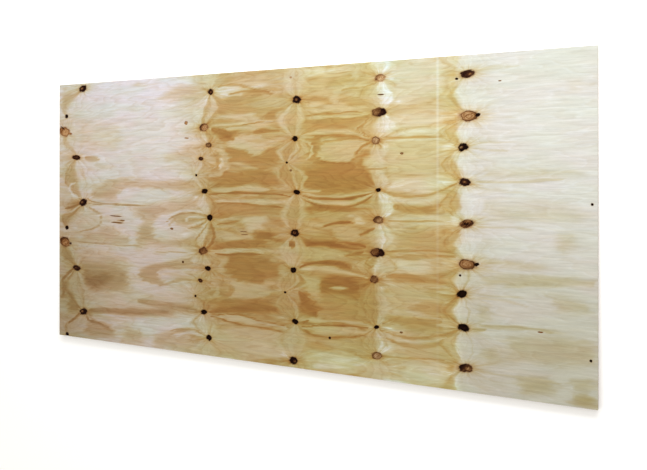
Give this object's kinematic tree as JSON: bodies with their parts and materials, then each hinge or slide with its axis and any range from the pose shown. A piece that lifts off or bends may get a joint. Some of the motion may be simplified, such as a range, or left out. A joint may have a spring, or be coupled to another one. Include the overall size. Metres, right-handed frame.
{
  "type": "plywood sheet",
  "caption": "Full rectangular sheet of rotary-cut softwood construction plywood, lying flat, knotty face up, with dropped and shrunk knots in its face ply.",
  "frame": {"origin": "centre of the underside", "axes": "+X along the face grain, which is the sheet's length, +Y across it, +Z out of the knotty face"},
  "size_m": [2.44, 1.22, 0.018],
  "materials": {
    "veneer": "matt"
  },
  "bodies": {
    "root": {"plywood_sheet": "veneer"}
  },
  "joints": []
}
